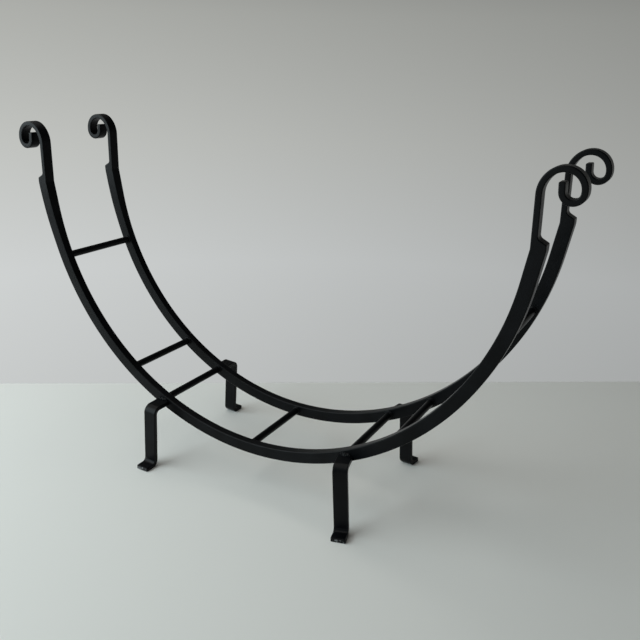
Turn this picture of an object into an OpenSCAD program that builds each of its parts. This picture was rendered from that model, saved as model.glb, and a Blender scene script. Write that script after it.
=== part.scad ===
// Log holder for the hearth: two bar rails bent on edge into half circles, with forged scrolls at their
// four ends, joined by seven round rungs and standing on four bent strap legs. Everything is welded.
// Sizes are millimetres. +X runs along the holder, +Y to its rear and +Z up. The origin is on the floor
// below its middle.

/* [Rails] */
// Outside radius of the rails' bend
rail_radius = 360; // [300:5:450]
// Depth of the rail bar, measured across the bend
rail_depth = 16; // [15:0.5:20]
// Thickness of the rail bar, front to rear
rail_thickness = 12; // [9:0.5:16]
// Angle from the lowest point at which the bend ends and the bar runs straight
bend_end_angle = 80.5; // [76:0.5:87]
// Length of straight bar after the bend, on the front rail
front_straight = 33; // [20:0.5:50]
// Length of straight bar after the bend, on the rear rail
rear_straight = 37; // [20:0.5:50]
// Width over both rails, front to rear
width_over_rails = 142; // [110:2:240]
// Height of the rails' lowest point above the floor
ground_clearance = 52.5; // [45:0.5:90]
// Rounding of the rail bar's long edges
rail_edge = 1.3; // [0.5:0.1:2]

/* [Shoulders and scrolls] */
// Inside radius of the small bend that turns the bar upright below the shoulder
upright_bend = 10; // [8:1:40]
// Angle by which the bar and its stem lean in over the logs
stem_lean = 1.5; // [0:0.1:6]
// Length of straight bar between the small bend and the shoulder
shoulder_foot = 4; // [2:0.2:12]
// Height over which the shoulder slopes from the bar's outer face up to the stem
shoulder_height = 5.6; // [3:0.2:9]
// Rounding of the shoulder's outer corner
shoulder_corner = 1.4; // [0.5:0.1:2]
// Radius of the hollow between the shoulder and the stem
shoulder_hollow = 5; // [3:0.5:7]
// Thickness of the stem that is forged from the inner part of the bar
stem_thickness = 6.6; // [5:0.1:8]
// Length of the front rail's stems, from the shoulder to the scroll
front_stem_length = 43.5; // [25:0.5:80]
// Length of the rear rail's stems, from the shoulder to the scroll
rear_stem_length = 43.5; // [25:0.5:80]
// Inside radius of the scroll's opening turn
scroll_lead_radius = 23.5; // [20:0.5:36]
// Angle of the scroll's opening turn
scroll_lead_angle = 51; // [30:1:60]
// Inside radius of the scroll's crown
scroll_crown_radius = 16.5; // [15:0.5:28]
// Angle of the scroll's crown
scroll_crown_angle = 137; // [110:1:140]
// Inside radius of the scroll's eye
scroll_eye_radius = 7.2; // [5:0.2:10]
// Angle of the scroll's eye
scroll_eye_angle = 169; // [150:1:200]
// Length of the straight tip that ends the scroll
scroll_tip_length = 9.5; // [4:0.5:12]

/* [Rungs] */
// Diameter of the round rungs
rung_diameter = 10; // [7:0.5:11]
// Angle of the bottom rung from the rails' lowest point
rung_bottom_angle = -0.3; // [-3:0.1:3]
// Angle of the low pair of rungs, from the rails' lowest point
rung_low_angle = 25.2; // [18:0.1:29]
// Angle of the middle pair of rungs
rung_mid_angle = 36.6; // [33:0.1:48]
// Angle of the high pair of rungs
rung_high_angle = 68.3; // [55:0.1:74]

/* [Legs] */
// Distance from the holder's middle to the front left leg, at the rail
leg_front_left = 148.5; // [110:0.5:190]
// Distance from the holder's middle to the front right leg, at the rail
leg_front_right = 149.5; // [110:0.5:190]
// Distance from the holder's middle to the rear left leg, at the rail
leg_rear_left = 151.5; // [110:0.5:190]
// Distance from the holder's middle to the rear right leg, at the rail
leg_rear_right = 155.5; // [110:0.5:190]
// Angle by which the front right leg is turned outward
leg_front_right_turn = 14; // [0:1:20]
// Angle by which the rear right leg is turned outward
leg_rear_right_turn = 9; // [0:1:20]
// Width of the leg strap
leg_width = 19; // [14:0.5:26]
// Thickness of the leg strap
leg_thickness = 6.4; // [4:0.2:8]
// Distance that the upright stands out from the rail
leg_reach = 30.8; // [24:0.2:60]
// Length of the foot beyond the upright
foot_length = 16.5; // [12:0.5:40]
// Inside radius of the leg's bends
leg_bend = 5; // [3:0.5:8]
// Angle by which the legs lean outward
leg_splay = 3.4; // [0:0.2:8]
// Rounding of the leg strap's long edges
leg_edge = 0.9; // [0.3:0.1:1.4]

/* [Welds] */
// Radius of the weld round each end of a rung
rung_weld = 1.7; // [0.8:0.1:2.5]
// Radius of the weld bead over a leg's top end
leg_weld = 3; // [1.5:0.1:3.6]
// Length of the weld bead over a leg's top end
leg_weld_length = 16; // [10:0.5:17]
// Radius of the weld bead under a leg's top end
under_weld = 2.2; // [1.2:0.1:2.6]
// Length of the weld bead under a leg's top end
under_weld_length = 9; // [6:0.5:12]

/* [Hidden] */
iron = [0.09, 0.095, 0.1];
weld_iron = [0.15, 0.155, 0.16];
small_fn = 32;
bend_fn = 64;
rail_fn = 240;
// How much slimmer a side the stretch being forged is, and by how much each stretch is drawn down
$slim = 0;
slim_step = 0.02;
// How far each stretch of a bar reaches back into the one before it
lap = 0.1;
left = -1;
right = 1;
front = -1;
rear = 1;
rail_inner_radius = rail_radius - rail_depth;
rail_center_height = ground_clearance + rail_radius;
rail_center_y = (width_over_rails - rail_thickness) / 2;
rung_length = width_over_rails - 2 * rail_thickness;
rail_middle_radius = rail_radius - rail_depth / 2;
leg_outer_bend = leg_bend + leg_thickness;
// Metal that is dressed off the foot at its thinnest, and cut off the strap's top end
least_dressing = 0.4;

// Height of the middle of the rail's depth, at a distance from the holder's middle
function rail_height(x) = rail_center_height - sqrt(rail_middle_radius ^ 2 - x ^ 2);
// A leg's top end meets the rail a little below the middle of its depth
function leg_top_height(x) = rail_height(x) - leg_thickness / 4;
// A foot is forged this much low, and then dressed flat on the floor up to its outermost corner
function foot_dressing(turn) = least_dressing
    + (leg_width / 2 * cos(turn) + (leg_reach + foot_length) * sin(turn)) * sin(leg_splay);

// Outline of a bar with rounded long edges: depth along X from zero, width along Y about zero
module bar_section(depth, width, edge) {
    far = depth - $slim;
    side = width / 2 - $slim;
    translate([$slim + edge, -side]) square([far - $slim - 2 * edge, 2 * side]);
    translate([$slim, edge - side]) square([far - $slim, 2 * (side - edge)]);
    for (x = [$slim + edge, far - edge], y = [edge - side, side - edge])
        translate([x, y]) circle(r = edge, $fn = small_fn);
}

// A bar is forged along +Y from the origin. Its inner face lies on X = 0, its depth along +X and its
// width about Z = 0. Each module below makes one stretch and puts its children at that stretch's end.
// The stretch that follows is drawn a hair slimmer and starts a short lap inside the one before.
module bar_run(length, depth, width, edge) {
    start = $slim > 0 ? lap : 0;
    translate([0, length, 0]) {
        rotate([90, 0, 0]) linear_extrude(length + start) bar_section(depth, width, edge);
        let ($slim = $slim + slim_step) children();
    }
}

// Sweeps the bar's section round a centre at the origin, from the +X axis
module bar_arc(radius, angle, depth, width, edge) {
    start = $slim > 0 ? lap / (radius + depth) * 180 / PI : 0;
    rotate([0, 0, -start]) rotate_extrude(angle = angle + start, $fn = bend_fn)
        translate([radius, 0]) bar_section(depth, width, edge);
}

// Bends the bar towards -X, round an inside radius on its inner face
module bar_bend_in(radius, angle, depth, width, edge) {
    translate([-radius, 0, 0]) {
        bar_arc(radius, angle, depth, width, edge);
        rotate([0, 0, angle]) translate([radius, 0, 0]) let ($slim = $slim + slim_step) children();
    }
}

// Bends the bar towards +X, round an inside radius on its outer face
module bar_bend_out(radius, angle, depth, width, edge) {
    center = radius + depth;
    translate([center, 0, 0]) {
        mirror([1, 0, 0]) bar_arc(radius, angle, depth, width, edge);
        rotate([0, 0, -angle]) translate([-center, 0, 0]) let ($slim = $slim + slim_step) children();
    }
}

// Metal cut away above the sloping shoulder, whose root lies at the top of this much straight bar
module shoulder_waste(straight) {
    run = rail_depth - stem_thickness;
    slope = atan(shoulder_height / run);
    tangent = shoulder_corner * tan((90 - slope) / 2);
    far = rail_depth - $slim;
    near = stem_thickness - $slim;
    low = straight - shoulder_height;
    linear_extrude(rail_thickness + 2, center = true) {
        polygon([[near, straight], [far, low], [far + 1, low], [far + 1, straight + 1], [near, straight + 1]]);
        difference() {
            polygon([
                [far - shoulder_corner, low - tangent], [far + 1, low - tangent], [far + 1, low + 1],
                [far - tangent * cos(slope) + sin(slope), low + tangent * sin(slope) + cos(slope)]
            ]);
            translate([far - shoulder_corner, low - tangent]) circle(r = shoulder_corner, $fn = bend_fn);
        }
    }
}

// Hollow in which the shoulder runs out into the stem
module shoulder_fillet() {
    slope = atan(shoulder_height / (rail_depth - stem_thickness));
    tangent = shoulder_hollow * tan((90 - slope) / 2);
    root = stem_thickness - $slim;
    linear_extrude(rail_thickness - 2 * rail_edge - 2 * $slim, center = true) difference() {
        polygon([
            [root - 1, tangent], [root + shoulder_hollow, tangent],
            [root + tangent * cos(slope) - sin(slope), -tangent * sin(slope) - cos(slope)], [root - 1, -1]
        ]);
        translate([root + shoulder_hollow, tangent]) circle(r = shoulder_hollow, $fn = bend_fn);
    }
}

// Scroll that curls outward in three turns of falling radius and ends in a short straight tip
module scroll() {
    bar_bend_out(scroll_lead_radius, scroll_lead_angle, stem_thickness, rail_thickness, rail_edge)
        bar_bend_out(scroll_crown_radius, scroll_crown_angle, stem_thickness, rail_thickness, rail_edge)
            bar_bend_out(scroll_eye_radius, scroll_eye_angle, stem_thickness, rail_thickness, rail_edge)
                bar_run(scroll_tip_length, stem_thickness, rail_thickness, rail_edge);
}

// Upright end of a bar, with the shoulder cut across it and the stem and scroll above
module shouldered_end(stem) {
    upright = shoulder_foot + shoulder_height;
    difference() {
        bar_run(upright, rail_depth, rail_thickness, rail_edge);
        shoulder_waste(upright);
    }
    translate([0, upright, 0]) let ($slim = $slim + slim_step) {
        shoulder_fillet();
        bar_run(stem, stem_thickness, rail_thickness, rail_edge) scroll();
    }
}

// End of a rail from the end of its bend: straight bar, small bend, shoulder, stem and scroll
module rail_end(straight, stem) {
    bar_run(straight, rail_depth, rail_thickness, rail_edge)
        bar_bend_in(upright_bend, 90 - bend_end_angle + stem_lean, rail_depth, rail_thickness, rail_edge)
            shouldered_end(stem);
}

// Puts its children at one end of the main bend, where that rail end starts
module at_rail_end(along) {
    mirror([along == left ? 1 : 0, 0, 0]) rotate([0, 0, bend_end_angle - 90])
        translate([rail_inner_radius, 0, 0]) children();
}

module rail(across) {
    straight = across == front ? front_straight : rear_straight;
    stem = across == front ? front_stem_length : rear_stem_length;
    color(iron) translate([0, across * rail_center_y, rail_center_height]) rotate([90, 0, 0]) {
        rotate([0, 0, -90 - bend_end_angle]) rotate_extrude(angle = 2 * bend_end_angle, $fn = rail_fn)
            translate([rail_inner_radius, 0]) bar_section(rail_depth, rail_thickness, rail_edge);
        for (along = [left, right])
            at_rail_end(along) let ($slim = slim_step) rail_end(straight, stem);
    }
}

// Puts its children on a rung's axis, with Z along the rung, at an angle from the rails' lowest point
module at_rung(angle) {
    translate([rail_middle_radius * sin(angle), 0, rail_center_height - rail_middle_radius * cos(angle)])
        rotate([90, 0, 0]) children();
}

module rung(angle) {
    color(iron) at_rung(angle) cylinder(h = rung_length, d = rung_diameter, center = true, $fn = small_fn);
}

// Ring of weld round one end of a rung, in the corner between the rung and the rail
module rung_ring(angle, across) {
    color(weld_iron) at_rung(angle) mirror([0, 0, across == rear ? 0 : 1])
        translate([0, 0, -rung_length / 2]) rotate_extrude($fn = small_fn)
            intersection() {
                translate([rung_diameter / 2, 0]) circle(r = rung_weld, $fn = small_fn);
                translate([rung_diameter / 2, 0]) square(rung_weld + 1);
            }
}

// Puts its children at a leg's top end on the rail's outer face. There +Y runs out from the rail, +X up
// and +Z along the rail, and the leg's lean is already turned in.
module at_leg(along, across, x) {
    mirror([along == left ? 1 : 0, 0, 0]) mirror([0, across == rear ? 1 : 0, 0])
        translate([x, -width_over_rails / 2, leg_top_height(x)])
            rotate([0, -leg_splay, 0]) rotate([0, -90, 180]) children();
}

// Leg strap: level top, bend, upright, second bend and foot. It is turned about its top end, which is cut
// flush with the rail, and dressed flat where it stands on the floor.
module leg(along, across, x, turn = 0) {
    upright = leg_top_height(x) + foot_dressing(turn) + leg_thickness / 2 - 2 * leg_outer_bend;
    trim = leg_width / 2 * tan(turn) + least_dressing;
    color(iron) difference() {
        at_leg(along, across, x) difference() {
            rotate([turn, 0, 0]) translate([-leg_thickness / 2, -trim, 0])
                bar_run(trim + leg_reach - leg_outer_bend, leg_thickness, leg_width, leg_edge)
                    bar_bend_in(leg_bend, 90, leg_thickness, leg_width, leg_edge)
                        bar_run(upright, leg_thickness, leg_width, leg_edge)
                            bar_bend_out(leg_bend, 90, leg_thickness, leg_width, leg_edge)
                                bar_run(foot_length - leg_bend, leg_thickness, leg_width, leg_edge);
            translate([0, -leg_width, 0]) cube(2 * leg_width, center = true); // behind the rail's face
        }
        translate([0, 0, -rail_radius]) cube(2 * rail_radius, center = true); // below the floor
    }
}

// Bead of weld with round ends: the quarter of a round bar that fills the corner of strap and rail
module bead(length, radius) {
    intersection() {
        union() {
            cylinder(h = length - 2 * radius, r = radius, center = true, $fn = small_fn);
            for (end = [-1, 1])
                translate([0, 0, end * (length / 2 - radius)]) sphere(r = radius, $fn = small_fn);
        }
        translate([0, 0, -length]) cube(2 * length);
    }
}

module bead_over_leg(along, across, x) {
    color(weld_iron) at_leg(along, across, x)
        translate([leg_thickness / 2, 0, 0]) bead(leg_weld_length, leg_weld);
}

// The bead under the strap keeps to the side where the rail still lies behind it
module bead_under_leg(along, across, x) {
    color(weld_iron) at_leg(along, across, x)
        translate([-leg_thickness / 2, 0, (under_weld_length - leg_weld_length) / 2])
            mirror([1, 0, 0]) bead(under_weld_length, under_weld);
}

rail(front);  // rail_front
rail(rear);  // rail_rear
rung(-rung_high_angle);  // rung_left_high
rung(-rung_mid_angle);  // rung_left_mid
rung(-rung_low_angle);  // rung_left_low
rung(rung_bottom_angle);  // rung_bottom
rung(rung_low_angle);  // rung_right_low
rung(rung_mid_angle);  // rung_right_mid
rung(rung_high_angle);  // rung_right_high
leg(left, front, leg_front_left);
leg(right, front, leg_front_right, leg_front_right_turn);
leg(left, rear, leg_rear_left);
leg(right, rear, leg_rear_right, leg_rear_right_turn);
rung_ring(-rung_high_angle, front);  // weld_rung_left_high_front
rung_ring(-rung_high_angle, rear);  // weld_rung_left_high_rear
rung_ring(-rung_mid_angle, front);  // weld_rung_left_mid_front
rung_ring(-rung_mid_angle, rear);  // weld_rung_left_mid_rear
rung_ring(-rung_low_angle, front);  // weld_rung_left_low_front
rung_ring(-rung_low_angle, rear);  // weld_rung_left_low_rear
rung_ring(rung_bottom_angle, front);  // weld_rung_bottom_front
rung_ring(rung_bottom_angle, rear);  // weld_rung_bottom_rear
rung_ring(rung_low_angle, front);  // weld_rung_right_low_front
rung_ring(rung_low_angle, rear);  // weld_rung_right_low_rear
rung_ring(rung_mid_angle, front);  // weld_rung_right_mid_front
rung_ring(rung_mid_angle, rear);  // weld_rung_right_mid_rear
rung_ring(rung_high_angle, front);  // weld_rung_right_high_front
rung_ring(rung_high_angle, rear);  // weld_rung_right_high_rear
bead_over_leg(left, front, leg_front_left);  // weld_leg_front_left_over
bead_under_leg(left, front, leg_front_left);  // weld_leg_front_left_under
bead_over_leg(right, front, leg_front_right);  // weld_leg_front_right_over
bead_under_leg(right, front, leg_front_right);  // weld_leg_front_right_under
bead_over_leg(left, rear, leg_rear_left);  // weld_leg_rear_left_over
bead_under_leg(left, rear, leg_rear_left);  // weld_leg_rear_left_under
bead_over_leg(right, rear, leg_rear_right);  // weld_leg_rear_right_over
bead_under_leg(right, rear, leg_rear_right);  // weld_leg_rear_right_under
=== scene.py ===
"""Log holder for the hearth: two forged bar rails with scrolled ends, round rungs, strap legs and welds."""

import math

import bmesh
import bpy
from mathutils import Matrix, Vector, noise


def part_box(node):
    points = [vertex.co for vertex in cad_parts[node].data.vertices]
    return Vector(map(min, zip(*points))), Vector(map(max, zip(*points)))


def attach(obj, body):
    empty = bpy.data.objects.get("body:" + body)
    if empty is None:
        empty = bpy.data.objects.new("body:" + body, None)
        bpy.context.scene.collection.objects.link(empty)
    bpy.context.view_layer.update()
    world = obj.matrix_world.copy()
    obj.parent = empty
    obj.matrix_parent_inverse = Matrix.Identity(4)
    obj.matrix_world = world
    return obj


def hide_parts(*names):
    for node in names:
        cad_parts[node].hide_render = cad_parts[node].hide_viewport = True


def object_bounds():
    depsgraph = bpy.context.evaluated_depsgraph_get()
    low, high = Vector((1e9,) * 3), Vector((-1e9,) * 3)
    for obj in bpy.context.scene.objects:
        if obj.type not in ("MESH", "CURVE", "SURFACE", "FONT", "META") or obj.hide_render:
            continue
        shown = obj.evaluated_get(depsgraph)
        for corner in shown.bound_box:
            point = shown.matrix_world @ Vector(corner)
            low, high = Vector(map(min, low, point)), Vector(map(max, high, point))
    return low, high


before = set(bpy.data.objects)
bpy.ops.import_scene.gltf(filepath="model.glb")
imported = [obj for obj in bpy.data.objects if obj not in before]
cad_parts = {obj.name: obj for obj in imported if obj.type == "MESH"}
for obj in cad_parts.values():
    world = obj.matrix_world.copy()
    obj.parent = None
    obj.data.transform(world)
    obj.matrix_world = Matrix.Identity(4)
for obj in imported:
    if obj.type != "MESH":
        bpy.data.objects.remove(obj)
cad_low, cad_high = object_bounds()

MM = 0.001

# Rails, as the frame's rails are forged
RAIL_RADIUS = 360 * MM
RAIL_DEPTH = 16 * MM
RAIL_EDGE = 1.3 * MM
BEND_END = math.radians(80.5)
STRAIGHT = {"rail_front": 33 * MM, "rail_rear": 37 * MM}
STRAIGHT_STEPS = 4
UPRIGHT_BEND = 10 * MM
SHOULDER_FOOT = 4 * MM
SHOULDER_HEIGHT = 5.6 * MM
SHOULDER_CORNER = 1.4 * MM
SHOULDER_HOLLOW = 5 * MM
STEM_THICKNESS = 6.6 * MM
STEM_LEAN = math.radians(1.5)
STEM_LENGTH = 43.5 * MM
STEM_STEPS = 4
SCROLL_TIP = 9.5 * MM
TIP_STEPS = 2

# Turns of a scroll from the stem to the tip: the inside radius and the angle of each
SCROLL_TURNS = (
    (23.5 * MM, math.radians(51)),
    (16.5 * MM, math.radians(137)),
    (7.2 * MM, math.radians(169)),
)

# How far hammering spreads a rail's ends to the front and to the rear, and the heights over the
# lowest point of the inner face at which the spread starts and is full
SPREAD_FRONT = 2.9 * MM
SPREAD_REAR = 0.4 * MM
SPREAD_HEIGHTS = (226 * MM, 313 * MM)

# Legs, as the frame's legs are bent. Each leaves its rail a small drop below the middle of the rail's depth
LEG_DISTANCE = {
    "leg_front_left": -148.5 * MM,
    "leg_front_right": 149.5 * MM,
    "leg_rear_left": -151.5 * MM,
    "leg_rear_right": 155.5 * MM,
}
LEG_TURN = {
    "leg_front_left": 0,
    "leg_front_right": math.radians(14),
    "leg_rear_left": 0,
    "leg_rear_right": math.radians(9),
}
LEG_WIDTH = 19 * MM
LEG_THICKNESS = 6.4 * MM
LEG_DROP = LEG_THICKNESS / 4
LEG_REACH = 30.8 * MM
LEG_BEND = 5 * MM
LEG_EDGE = 0.9 * MM
LEG_SPLAY = math.radians(3.4)
FOOT_LENGTH = 16.5 * MM
LEAST_DRESSING = 0.4 * MM
LEG_TOP_STEPS = 2
UPRIGHT_STEPS = 8
FOOT_STEPS = 2

# How finely curves and rounded edges are cut
BEND_STEP = math.radians(1.4)
TURN_STEP = math.radians(5)
EDGE_CUTS = 3
ROUND_CUTS = 5

# An edge at which the surface turns more than the first angle is rounded, and one at which it turns
# less than the second shapes nothing
SHARP_EDGE = math.radians(40)
FLAT_EDGE = math.radians(0.5)

# Gap that keeps two edges or surfaces from falling on each other, and distance at which corners are one
SEAM = 0.1 * MM
MERGE = 0.001 * MM


def rim_and_faces(faces):
    """These faces with their edges and corners, in a steady order."""
    edges = dict.fromkeys(edge for face in faces for edge in face.edges)
    corners = dict.fromkeys(corner for face in faces for corner in face.verts)
    return [*faces, *edges, *corners]


def of_kind(elements, kind):
    return [element for element in elements if isinstance(element, kind)]


def everything(bm):
    return bm.verts[:] + bm.edges[:] + bm.faces[:]


class Forging:
    """A bar as it is forged on from its end, in its own frame.

    The bar starts at the origin and runs along +Y. Its inner face starts on X = 0, its depth lies
    along +X and its width along Z. Bends turn it about Z.
    """

    def __init__(self, depths, width):
        self.bm = bmesh.new()
        lines = [[self.bm.verts.new((depth, 0, side * width / 2)) for side in (-1, 1)] for depth in depths]
        self.faces = [self.bm.faces.new((a[0], a[1], b[1], b[0])) for a, b in zip(lines, lines[1:])]
        self.depth = depths[-1]
        self.point = Vector((0, 0, 0))
        self.heading = Vector((0, 1, 0))

    def outward(self):
        return Vector((self.heading.y, -self.heading.x, 0))

    def run(self, length, steps=1):
        """Carries the bar straight on."""
        for _ in range(steps):
            made = bmesh.ops.extrude_face_region(self.bm, geom=rim_and_faces(self.faces))["geom"]
            corners = of_kind(made, bmesh.types.BMVert)
            bmesh.ops.translate(self.bm, verts=corners, vec=self.heading * length / steps)
            self.faces = of_kind(made, bmesh.types.BMFace)
        self.point += self.heading * length

    def turn(self, center, angle, step):
        """Carries the bar round a centre."""
        made = bmesh.ops.spin(
            self.bm,
            geom=rim_and_faces(self.faces),
            cent=center,
            axis=(0, 0, 1),
            angle=angle,
            steps=max(1, round(abs(angle) / step)),
        )
        self.faces = of_kind(made["geom_last"], bmesh.types.BMFace)
        rotation = Matrix.Rotation(angle, 3, "Z")
        self.point = center + rotation @ (self.point - center)
        self.heading = rotation @ self.heading

    def bend_in(self, radius, angle, step=TURN_STEP):
        """Bends the bar towards its inner face, round an inside radius."""
        self.turn(self.point - self.outward() * radius, angle, step)

    def bend_out(self, radius, angle, step=TURN_STEP):
        """Bends the bar towards its outer face, round an inside radius."""
        self.turn(self.point + self.outward() * (self.depth + radius), -angle, step)

    def depth_of(self, element):
        """How far out from the inner face the middle of an edge or a face lies."""
        middle = sum((corner.co for corner in element.verts), Vector()) / len(element.verts)
        return (middle - self.point).dot(self.outward())


def round_edges(bm, edges, radius, cuts):
    bmesh.ops.bevel(
        bm,
        geom=edges,
        offset=radius,
        offset_type="OFFSET",
        segments=cuts,
        profile=0.5,
        affect="EDGES",
        clamp_overlap=False,
        material=-1,
    )


def round_sharp_edges(bm, radius):
    """Rounds every edge at which two faces meet sharply."""
    bmesh.ops.recalc_face_normals(bm, faces=bm.faces[:])
    sharp = [edge for edge in bm.edges if len(edge.link_faces) == 2 and edge.calc_face_angle() > SHARP_EDGE]
    round_edges(bm, sharp, radius, EDGE_CUTS)


def clear_flat_edges(bm, center, reach):
    """Takes out the edges near a point that cross a flat face and shape nothing."""
    near = [
        edge
        for edge in bm.edges
        if len(edge.link_faces) == 2
        and all((corner.co - center).length < reach for corner in edge.verts)
        and edge.calc_face_angle() < FLAT_EDGE
    ]
    bmesh.ops.dissolve_edges(bm, edges=near, use_verts=False)


def finished_piece(name, bm, paint, node):
    """Makes the finished mesh an object that stands for its frame node and follows the holder."""
    bmesh.ops.recalc_face_normals(bm, faces=bm.faces[:])
    for face in bm.faces:
        face.smooth = True
    mesh = bpy.data.meshes.new(name)
    bm.to_mesh(mesh)
    bm.free()
    mesh.materials.append(paint)
    piece = bpy.data.objects.new(name, mesh)
    bpy.context.scene.collection.objects.link(piece)
    shading = piece.modifiers.new("even_shading", "WEIGHTED_NORMAL")
    shading.keep_sharp = True
    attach(piece, "root")
    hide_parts(node)


# Camera, at the place and angle from which the holder was photographed

PHOTO_SIDE = 640
FOCAL_PIXELS = 708.03
SENSOR = 36
CAMERA_PLACE = Vector((499.5, -768.35, 555.4)) * MM
CAMERA_YAW = 0.511
CAMERA_PITCH = -0.3455
CAMERA_ROLL = 0.0221
CAMERA_RIGHT = Vector((math.cos(CAMERA_YAW), math.sin(CAMERA_YAW), 0))


def set_up_camera():
    camera = bpy.data.objects.new("camera", bpy.data.cameras.new("camera"))
    camera.data.sensor_width = SENSOR
    camera.data.lens = FOCAL_PIXELS / PHOTO_SIDE * SENSOR
    level = math.cos(CAMERA_PITCH)
    forward = Vector((-math.sin(CAMERA_YAW) * level, math.cos(CAMERA_YAW) * level, math.sin(CAMERA_PITCH)))
    up = CAMERA_RIGHT.cross(forward)
    turned_right = math.cos(CAMERA_ROLL) * CAMERA_RIGHT + math.sin(CAMERA_ROLL) * up
    turned_up = math.cos(CAMERA_ROLL) * up - math.sin(CAMERA_ROLL) * CAMERA_RIGHT
    axes = Matrix((turned_right, turned_up, -forward)).transposed()
    camera.matrix_world = Matrix.Translation(CAMERA_PLACE) @ axes.to_4x4()
    bpy.context.scene.collection.objects.link(camera)
    bpy.context.scene.camera = camera


set_up_camera()


# Finish

# Paint: how strongly it mirrors, and the scale and detail of its tone, gloss, hammer marks and peel
PAINT_SHEEN = 0.11
TONE_SCALE = 38
TONE_DETAIL = 4
TONE_SPAN = (0.35, 0.7)
GLOSS_SCALE = 90
GLOSS_DETAIL = 3
DENT_SCALE = 70
DENT_DETAIL = 1
PEEL_DETAIL = 2

BAR_FINISH = dict(
    tones=((0.0013, 0.0016, 0.002), (0.0034, 0.004, 0.005)),
    roughness=(0.26, 0.42),
    peel_scale=620,
    peel_height=0.03 * MM,
    dent_height=0.18 * MM,
)
WELD_FINISH = dict(
    tones=((0.0013, 0.0016, 0.002), (0.0034, 0.0041, 0.0051)),
    roughness=(0.34, 0.52),
    peel_scale=480,
    peel_height=0.08 * MM,
    dent_height=0.3 * MM,
)

# Chips in the paint of a scuffed tip, in a light steel colour that also stands in for the glints on the
# feet as a painted highlight: across the chip line, which is a sum of nearness to the tip and grain, paint
# gives way to this light colour, and the scuffing reaches a short way back from the tip
STEEL_AND_PAINTED_GLINT = (0.17, 0.177, 0.182)
CHIP_AND_GLINT_SCALE = 300
CHIP_AND_GLINT_DETAIL = 3
CHIP_AND_GLINT_LINE = (1.51, 1.58)
WEAR_AND_GLINT_REACH = 3.4 * MM


def grain(tree, scale, detail):
    """Noise that lies on the object's own coordinates."""
    coordinates = tree.nodes.new("ShaderNodeTexCoord")
    texture = tree.nodes.new("ShaderNodeTexNoise")
    texture.inputs["Scale"].default_value = scale
    texture.inputs["Detail"].default_value = detail
    tree.links.new(coordinates.outputs["Object"], texture.inputs["Vector"])
    return texture.outputs["Fac"]


def carried_over(tree, value, source=(0, 1), target=(0, 1), interpolation="LINEAR"):
    """A value carried over from one range to another."""
    carry = tree.nodes.new("ShaderNodeMapRange")
    carry.interpolation_type = interpolation
    carry.inputs["From Min"].default_value, carry.inputs["From Max"].default_value = source
    carry.inputs["To Min"].default_value, carry.inputs["To Max"].default_value = target
    tree.links.new(value, carry.inputs["Value"])
    return carry.outputs["Result"]


def graded(tree, value, positions, colors):
    """A colour that changes with a value, through these colours at these positions."""
    grade = tree.nodes.new("ShaderNodeValToRGB")
    stops = grade.color_ramp.elements
    while len(stops) < len(positions):
        stops.new(positions[0])
    for stop, position, color in zip(stops, positions, colors):
        stop.position = position
        stop.color = (*color, 1)
    tree.links.new(value, grade.inputs["Fac"])
    return grade.outputs["Color"]


def bumped(tree, height, distance):
    """Node whose normal is that of a surface raised by a height."""
    bump = tree.nodes.new("ShaderNodeBump")
    bump.inputs["Strength"].default_value = 1
    bump.inputs["Distance"].default_value = distance
    tree.links.new(height, bump.inputs["Height"])
    return bump


def iron_paint(name, tones, roughness, peel_scale, peel_height, dent_height):
    """Black satin paint on iron: fine orange peel over soft hammer marks, a little uneven in gloss."""
    material = bpy.data.materials.new(name)
    material.use_nodes = True
    tree = material.node_tree
    shader = tree.nodes["Principled BSDF"]
    shader.inputs["Specular IOR Level"].default_value = PAINT_SHEEN
    tone = graded(tree, grain(tree, TONE_SCALE, TONE_DETAIL), TONE_SPAN, tones)
    gloss = carried_over(tree, grain(tree, GLOSS_SCALE, GLOSS_DETAIL), target=roughness)
    dents = bumped(tree, grain(tree, DENT_SCALE, DENT_DETAIL), dent_height)
    peel = bumped(tree, grain(tree, peel_scale, PEEL_DETAIL), peel_height)
    tree.links.new(tone, shader.inputs["Base Color"])
    tree.links.new(gloss, shader.inputs["Roughness"])
    tree.links.new(dents.outputs["Normal"], peel.inputs["Normal"])
    tree.links.new(peel.outputs["Normal"], shader.inputs["Normal"])
    return material


def chipped_with_painted_glints(material):
    """Lets a light steel colour show in chips where a piece's tip mark is near 1: scuffed paint that also
    paints in glints as a painted highlight.
    """
    tree = material.node_tree
    nodes, links = tree.nodes, tree.links
    paint = nodes["Principled BSDF"].inputs["Base Color"]
    wear_and_glint = nodes.new("ShaderNodeAttribute")
    wear_and_glint.attribute_name = "wear_and_glint"
    worn_and_glinting = nodes.new("ShaderNodeMath")
    worn_and_glinting.operation = "ADD"
    links.new(wear_and_glint.outputs["Fac"], worn_and_glinting.inputs[0])
    links.new(grain(tree, CHIP_AND_GLINT_SCALE, CHIP_AND_GLINT_DETAIL), worn_and_glinting.inputs[1])
    surface = nodes.new("ShaderNodeMix")
    surface.data_type = "RGBA"
    surface.inputs["B"].default_value = (*STEEL_AND_PAINTED_GLINT, 1)
    links.new(carried_over(tree, worn_and_glinting.outputs["Value"], source=CHIP_AND_GLINT_LINE), surface.inputs["Factor"])
    links.new(paint.links[0].from_socket, surface.inputs["A"])
    links.new(surface.outputs["Result"], paint)
    return material


def mark_tip_for_chips_and_glints(bm, tip, heading):
    """Marks how near each corner lies to a bar's tip, from 1 there down to 0."""
    wear_and_glint = bm.verts.layers.float.new("wear_and_glint")
    for corner in bm.verts:
        corner[wear_and_glint] = max(0, 1 + (corner.co - tip).dot(heading) / WEAR_AND_GLINT_REACH)


bar_paint = iron_paint("black_bar_paint", **BAR_FINISH)
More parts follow.
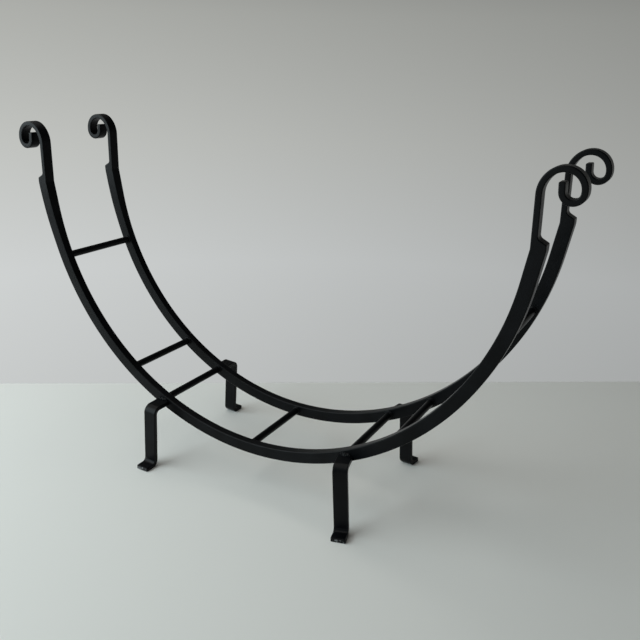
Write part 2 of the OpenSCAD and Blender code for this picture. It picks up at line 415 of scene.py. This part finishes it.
# The straps' paint has chips at the feet's tips, in a light colour that is partly a painted highlight for
# glints
strap_paint = chipped_with_painted_glints(iron_paint("black_strap_paint", **BAR_FINISH))
weld_paint = iron_paint("black_weld_paint", **WELD_FINISH)


# Rails

def at_rail(node):
    """Places a bar that runs along +Y from the origin at the lowest point of a rail, running right."""
    low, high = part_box(node)
    place = Vector((0, (low.y + high.y) / 2, low.z + RAIL_DEPTH))
    axes = Matrix(((0, 0, -1), (1, 0, 0), (0, -1, 0))).transposed()
    return Matrix.Translation(place) @ axes.to_4x4()


def spread_ends(bm):
    """Widens a rail smoothly towards its ends, as hammering does, while it lies in its own frame."""
    start, full = SPREAD_HEIGHTS
    for corner in bm.verts:
        share = min(max((-corner.co.x - start) / (full - start), 0), 1)
        smooth = share * share * (3 - 2 * share)
        corner.co.z += smooth * (SPREAD_FRONT if corner.co.z > 0 else -SPREAD_REAR)


def rail(node):
    """Half of a rail from its lowest point up to the cut end of its scroll, then mirrored."""
    low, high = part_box(node)
    bar = Forging((0, STEM_THICKNESS, RAIL_DEPTH), high.y - low.y)
    bm = bar.bm
    start = bar.faces
    bar.bend_in(RAIL_RADIUS - RAIL_DEPTH, BEND_END, BEND_STEP)
    bar.run(STRAIGHT[node], STRAIGHT_STEPS)
    bar.bend_in(UPRIGHT_BEND, math.pi / 2 - BEND_END + STEM_LEAN)
    bar.run(SHOULDER_FOOT + SHOULDER_HEIGHT)

    stem_end, shoulder = sorted(bar.faces, key=bar.depth_of)
    hollow = next(edge for edge in stem_end.edges if shoulder in edge.link_faces)
    corner = max(shoulder.edges, key=bar.depth_of)
    bmesh.ops.translate(bm, verts=corner.verts[:], vec=-bar.heading * SHOULDER_HEIGHT)
    shoulder_point = bar.point + bar.outward() * STEM_THICKNESS
    bar.faces = [stem_end]
    bar.depth = STEM_THICKNESS
    bar.run(STEM_LENGTH, STEM_STEPS)
    for radius, angle in SCROLL_TURNS:
        bar.bend_out(radius, angle)
    bar.run(SCROLL_TIP, TIP_STEPS)

    bmesh.ops.delete(bm, geom=start, context="FACES")
    bmesh.ops.recalc_face_normals(bm, faces=bm.faces[:])
    slope = math.atan(SHOULDER_HEIGHT / (RAIL_DEPTH - STEM_THICKNESS))
    tangent = math.tan((math.pi / 2 - slope) / 2)
    round_edges(bm, [corner], SHOULDER_CORNER * tangent, ROUND_CUTS)
    round_edges(bm, [hollow], SHOULDER_HOLLOW * tangent - SEAM, ROUND_CUTS)
    clear_flat_edges(bm, shoulder_point, RAIL_DEPTH)
    spread_ends(bm)
    bmesh.ops.mirror(bm, geom=everything(bm), axis="Y", merge_dist=MERGE)
    round_sharp_edges(bm, RAIL_EDGE)
    bmesh.ops.transform(bm, matrix=at_rail(node), verts=bm.verts[:])
    finished_piece(node + "_forged", bm, bar_paint, node)


for rail_node in STRAIGHT:
    rail(rail_node)


# Rungs

RUNG_NODES = (
    "rung_left_high",
    "rung_left_mid",
    "rung_left_low",
    "rung_bottom",
    "rung_right_low",
    "rung_right_mid",
    "rung_right_high",
)
RUNG_SIDES = 48
RUNG_STEPS = 30
ROLLING_MARK = 0.06 * MM
ROLLING_SCALE = 60


def along_y(place):
    """Turns a piece made along +Z so that it lies along +Y at a place."""
    return Matrix.Translation(place) @ Matrix.Rotation(-math.pi / 2, 4, "X")


def rung(node):
    """Round bar with the faint unevenness that rolling leaves."""
    low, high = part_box(node)
    middle = (low + high) / 2
    radius = (high.x - low.x) / 2
    bm = bmesh.new()
    bmesh.ops.create_circle(bm, cap_ends=True, segments=RUNG_SIDES, radius=radius)
    faces = bm.faces[:]
    for _ in range(RUNG_STEPS):
        made = bmesh.ops.extrude_face_region(bm, geom=rim_and_faces(faces))["geom"]
        faces = of_kind(made, bmesh.types.BMFace)
        step = Vector((0, 0, (high.y - low.y) / RUNG_STEPS))
        bmesh.ops.translate(bm, verts=of_kind(made, bmesh.types.BMVert), vec=step)
    bmesh.ops.transform(bm, matrix=along_y(Vector((middle.x, low.y, middle.z))), verts=bm.verts[:])
    for vertex in bm.verts:
        out = Vector((vertex.co.x - middle.x, 0, vertex.co.z - middle.z)).normalized()
        vertex.co -= out * ROLLING_MARK * abs(noise.noise(vertex.co * ROLLING_SCALE))
    finished_piece(node + "_bar", bm, bar_paint, node)


for rung_node in RUNG_NODES:
    rung(rung_node)


# Legs

def rail_middle_height(x):
    """Height of the middle of the rails' depth, at a distance from the holder's middle."""
    radius = RAIL_RADIUS - RAIL_DEPTH / 2
    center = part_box("rail_front")[0].z + RAIL_RADIUS
    return center - math.sqrt(radius ** 2 - x ** 2)


def outer_rail_face(leg_node):
    """Where, from front to rear, the rail face lies that a leg butts on."""
    rail_low, rail_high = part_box("rail_front" if "front" in leg_node else "rail_rear")
    return rail_low.y if "front" in leg_node else rail_high.y


def at_leg(node):
    """Places a bar that runs along +Y from the origin at a leg's top end, where it leaves the rail."""
    x = LEG_DISTANCE[node]
    place = Vector((x, outer_rail_face(node), rail_middle_height(x) - LEG_DROP))
    mirror = Matrix.Diagonal((1 if x > 0 else -1, 1 if "front" in node else -1, 1, 1))
    axes = Matrix(((0, 0, 1), (0, -1, 0), (1, 0, 0))).transposed()
    lean = Matrix.Rotation(-LEG_SPLAY, 3, "Y")
    return Matrix.Translation(place) @ mirror @ (lean @ axes).to_4x4()


def cut_off(bm, outward):
    """Cuts off what lies outside a plane through the origin and closes the cut with a flat face."""
    cut = bmesh.ops.bisect_plane(
        bm, geom=everything(bm), plane_co=(0, 0, 0), plane_no=outward, clear_outer=True
    )
    bmesh.ops.edgenet_fill(bm, edges=of_kind(cut["geom_cut"], bmesh.types.BMEdge))


def leg(node):
    """Strap that leaves the rail level, bends down, and bends out again to its foot."""
    place = at_leg(node)
    turn = LEG_TURN[node]
    outer_bend = LEG_BEND + LEG_THICKNESS
    foot_corner = LEG_WIDTH / 2 * math.cos(turn) + (LEG_REACH + FOOT_LENGTH) * math.sin(turn)
    dressing = LEAST_DRESSING + foot_corner * math.sin(LEG_SPLAY)
    upright = place.translation.z + dressing + LEG_THICKNESS / 2 - 2 * outer_bend
    trim = LEG_WIDTH / 2 * math.tan(turn) + LEAST_DRESSING
    bar = Forging((0, LEG_THICKNESS), LEG_WIDTH)
    bm = bar.bm
    back = Vector((-LEG_THICKNESS / 2, -trim, 0))
    bmesh.ops.translate(bm, verts=bm.verts[:], vec=back)
    bar.point += back
    bar.run(trim + LEG_REACH - outer_bend, LEG_TOP_STEPS)
    bar.bend_in(LEG_BEND, math.pi / 2)
    bar.run(upright, UPRIGHT_STEPS)
    bar.bend_out(LEG_BEND, math.pi / 2)
    bar.run(FOOT_LENGTH - LEG_BEND, FOOT_STEPS)
    round_sharp_edges(bm, LEG_EDGE)
    # Nearness to the foot's tip, where the chips' light colour also paints in glints as a painted highlight
    mark_tip_for_chips_and_glints(bm, bar.point, bar.heading)
    bmesh.ops.transform(bm, matrix=Matrix.Rotation(turn, 4, "X"), verts=bm.verts[:])
    cut_off(bm, (0, -1, 0))
    bmesh.ops.transform(bm, matrix=place, verts=bm.verts[:])
    cut_off(bm, (0, 0, -1))
    finished_piece(node + "_strap", bm, strap_paint, node)


for leg_node in LEG_DISTANCE:
    leg(leg_node)


# Welds

# A weld's lumps are a share of its size, and a bead's ripples are a share of it and lie a pitch apart
RUNG_WELD = 1.7 * MM
WELD_SIDES = 12
WELD_STEPS = 64
WELD_LUMP = 0.35
WELD_LUMP_SCALE = 420
BEAD_CUTS = 5
BEAD_RIPPLE = 0.07
BEAD_PITCH = 2.6 * MM


def lumpy(bm, core, size):
    """Swells and dents a weld of this size about the line or place that the core function gives."""
    for vertex in bm.verts:
        out = vertex.co - core(vertex.co)
        if out.length > MERGE:
            swell = noise.noise(vertex.co * WELD_LUMP_SCALE) * size * WELD_LUMP
            vertex.co += out.normalized() * swell


def rung_weld(rung_node, end):
    """Ring of weld laid round a rung in the corner that it makes with a rail."""
    node = f"weld_{rung_node}_{end}"
    low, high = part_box(rung_node)
    middle = (low + high) / 2
    radius = (high.x - low.x) / 2
    rail_face = Vector((middle.x, low.y if end == "front" else high.y, middle.z))
    bm = bmesh.new()
    bmesh.ops.create_circle(bm, segments=WELD_SIDES, radius=RUNG_WELD)
    stand_up = Matrix.Translation((radius, 0, 0)) @ Matrix.Rotation(math.pi / 2, 4, "X")
    bmesh.ops.transform(bm, matrix=stand_up, verts=bm.verts[:])
    bmesh.ops.spin(
        bm,
        geom=bm.verts[:] + bm.edges[:],
        axis=(0, 0, 1),
        angle=2 * math.pi,
        steps=WELD_STEPS,
        use_merge=True,
    )
    bmesh.ops.transform(bm, matrix=along_y(rail_face), verts=bm.verts[:])

    def ring(point):
        out = Vector((point.x - middle.x, 0, point.z - middle.z)).normalized()
        return rail_face + out * radius

    lumpy(bm, ring, RUNG_WELD)
    finished_piece(node + "_bead", bm, weld_paint, node)


def leg_weld(leg_node, side):
    """Bead of weld along a leg's top end, in the corner that the strap makes with the rail."""
    node = f"weld_{leg_node}_{side}"
    low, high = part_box(node)
    middle = (low + high) / 2
    rail_face = outer_rail_face(leg_node)
    strap_face = low.z if side == "over" else high.z
    bm = bmesh.new()
    bmesh.ops.create_icosphere(bm, subdivisions=BEAD_CUTS, radius=1)
    # The frame's bead is the quarter of a round one, and this bead is whole and full towards its ends
    half = Vector((high.x - low.x, 2 * (high.y - low.y), 2 * (high.z - low.z))) / 2
    for vertex in bm.verts:
        ripple = 1 + BEAD_RIPPLE * math.cos(2 * math.pi * vertex.co.x * half.x / BEAD_PITCH)
        full = ripple * math.sqrt(1 + vertex.co.x ** 2)
        vertex.co = Vector((vertex.co.x * half.x, vertex.co.y * half.y * full, vertex.co.z * half.z * full))
    tilt = LEG_SPLAY if middle.x > 0 else -LEG_SPLAY
    place = Matrix.Translation((middle.x, rail_face, strap_face)) @ Matrix.Rotation(-tilt, 4, "Y")
    bmesh.ops.transform(bm, matrix=place, verts=bm.verts[:])
    lumpy(bm, lambda point: Vector((point.x, rail_face, strap_face)), half.y)
    finished_piece(node + "_bead", bm, weld_paint, node)


for rung_node in RUNG_NODES:
    for end in ("front", "rear"):
        rung_weld(rung_node, end)
for leg_node in LEG_DISTANCE:
    for side in ("over", "under"):
        leg_weld(leg_node, side)


# Floor, backdrop and light

# Floor: how far behind the holder's middle it ends, how its rear edge is turned, and the distances
# from the middle at which it starts to fade and is gone
FLOOR_SIDE = 4.4
FLOOR_BEHIND = 0.281
FLOOR_TURN = 0.571
FLOOR_COLOR = (0.745, 0.75, 0.73)
FLOOR_ROUGHNESS = 0.7
FLOOR_FADE = (0.9, 1.6)

# Colour of the backdrop at each height of the line of sight, as the sine of its angle
BACKDROP_SINES = (-0.42, -0.26, -0.1, 0.06, 0.3)
BACKDROP_COLORS = (
    (0.472, 0.487, 0.485),
    (0.515, 0.532, 0.53),
    (0.445, 0.455, 0.437),
    (0.35, 0.357, 0.338),
    (0.06, 0.06, 0.06),
)

# Cosine of the angle between the line of sight and the camera's right, at the backdrop's bright side
# and at its dim side, and how bright the backdrop is at each
BACKDROP_SIDES = (-0.45, 1)
BACKDROP_GAINS = (1.225, 0.5)

SOFTBOXES = {
    "softbox_left": dict(
        place=(-1.35, -1.3, 0.9),
        width=2,
        height=1.5,
        watts=37,
        color=(0.82, 0.96, 1),
    ),
    "softbox_overhead": dict(
        place=(-0.9, -0.2, 1.9),
        width=2.6,
        height=2.6,
        watts=27,
        color=(1, 0.99, 0.93),
    ),
}


def floor_finish():
    """Pale satin floor that fades into the backdrop well away from the holder."""
    material = bpy.data.materials.new("pale_floor")
    material.use_nodes = True
    tree = material.node_tree
    nodes, links = tree.nodes, tree.links
    shader = nodes["Principled BSDF"]
    shader.inputs["Base Color"].default_value = (*FLOOR_COLOR, 1)
    shader.inputs["Roughness"].default_value = FLOOR_ROUGHNESS
    distance = nodes.new("ShaderNodeVectorMath")
    distance.operation = "LENGTH"
    links.new(nodes.new("ShaderNodeTexCoord").outputs["Object"], distance.inputs[0])
    melt = nodes.new("ShaderNodeMixShader")
    fade = carried_over(tree, distance.outputs["Value"], source=FLOOR_FADE, interpolation="SMOOTHSTEP")
    links.new(fade, melt.inputs["Fac"])
    links.new(shader.outputs["BSDF"], melt.inputs[1])
    links.new(nodes.new("ShaderNodeBsdfTransparent").outputs["BSDF"], melt.inputs[2])
    links.new(melt.outputs["Shader"], nodes["Material Output"].inputs["Surface"])
    return material


def floor():
    """Floor that ends behind the holder, where the backdrop starts."""
    bm = bmesh.new()
    bmesh.ops.create_grid(bm, x_segments=1, y_segments=1, size=FLOOR_SIDE / 2)
    bmesh.ops.translate(bm, verts=bm.verts[:], vec=(0, FLOOR_BEHIND - FLOOR_SIDE / 2, -SEAM))
    bmesh.ops.rotate(bm, verts=bm.verts[:], matrix=Matrix.Rotation(FLOOR_TURN, 3, "Z"))
    mesh = bpy.data.meshes.new("floor")
    bm.to_mesh(mesh)
    bm.free()
    mesh.materials.append(floor_finish())
    plane = bpy.data.objects.new("floor", mesh)
    bpy.context.scene.collection.objects.link(plane)


def softbox(name, place, width, height, watts, color):
    """Rectangular lamp that gives soft-edged shadows, turned to the holder's middle."""
    lamp = bpy.data.objects.new(name, bpy.data.lights.new(name, "AREA"))
    lamp.data.shape = "RECTANGLE"
    lamp.data.size = width
    lamp.data.size_y = height
    lamp.data.energy = watts
    lamp.data.color = color
    middle = (cad_low + cad_high) / 2
    lamp.location = place
    lamp.rotation_euler = (middle - Vector(place)).to_track_quat("-Z", "Y").to_euler()
    bpy.context.scene.collection.objects.link(lamp)


def backdrop():
    """World that is pale round the holder, brighter on the left of the camera's view and dark overhead."""
    world = bpy.data.worlds.new("world")
    world.use_nodes = True
    tree = world.node_tree
    nodes, links = tree.nodes, tree.links
    background = nodes["Background"]
    sight = nodes.new("ShaderNodeTexCoord").outputs["Generated"]
    split = nodes.new("ShaderNodeSeparateXYZ")
    links.new(sight, split.inputs["Vector"])
    height = carried_over(tree, split.outputs["Z"], source=(-1, 1))
    positions = [(sine + 1) / 2 for sine in BACKDROP_SINES]
    links.new(graded(tree, height, positions, BACKDROP_COLORS), background.inputs["Color"])
    across = nodes.new("ShaderNodeVectorMath")
    across.operation = "DOT_PRODUCT"
    across.inputs[1].default_value = CAMERA_RIGHT
    links.new(sight, across.inputs[0])
    gain = carried_over(tree, across.outputs["Value"], source=BACKDROP_SIDES, target=BACKDROP_GAINS)
    links.new(gain, background.inputs["Strength"])
    bpy.context.scene.world = world


backdrop()
floor()
for name, make in SOFTBOXES.items():
    softbox(name, **make)
bpy.context.scene.view_settings.view_transform = "Standard"
